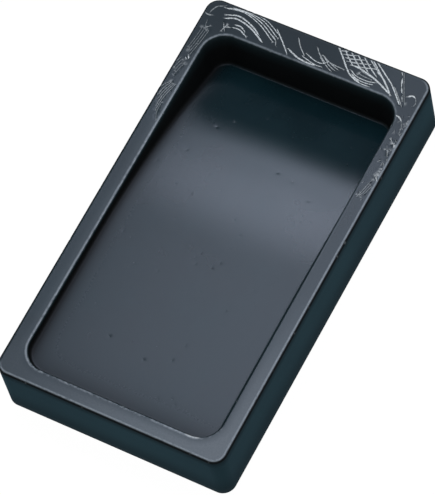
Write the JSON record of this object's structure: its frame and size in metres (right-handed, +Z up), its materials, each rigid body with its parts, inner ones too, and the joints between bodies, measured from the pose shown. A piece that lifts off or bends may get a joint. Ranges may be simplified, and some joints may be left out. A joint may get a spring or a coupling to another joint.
{
  "type": "inkstone",
  "caption": "Rectangular carved stone block with rounded corners, a raised rim and a well whose level floor slopes down to a deep end for ink.",
  "frame": {"origin": "centre of the flat resting face on the underside", "axes": "+X across the stone to its right side as seen from the foot, +Y along the stone from the foot (level hill) to the head (deep sea), +Z up out of the well"},
  "size_m": [0.0746, 0.136, 0.0213],
  "materials": {
    "dark_slate": "honed and lightly polished, satin"
  },
  "bodies": {
    "root": {"inkstone_body": "dark_slate"}
  },
  "joints": []
}
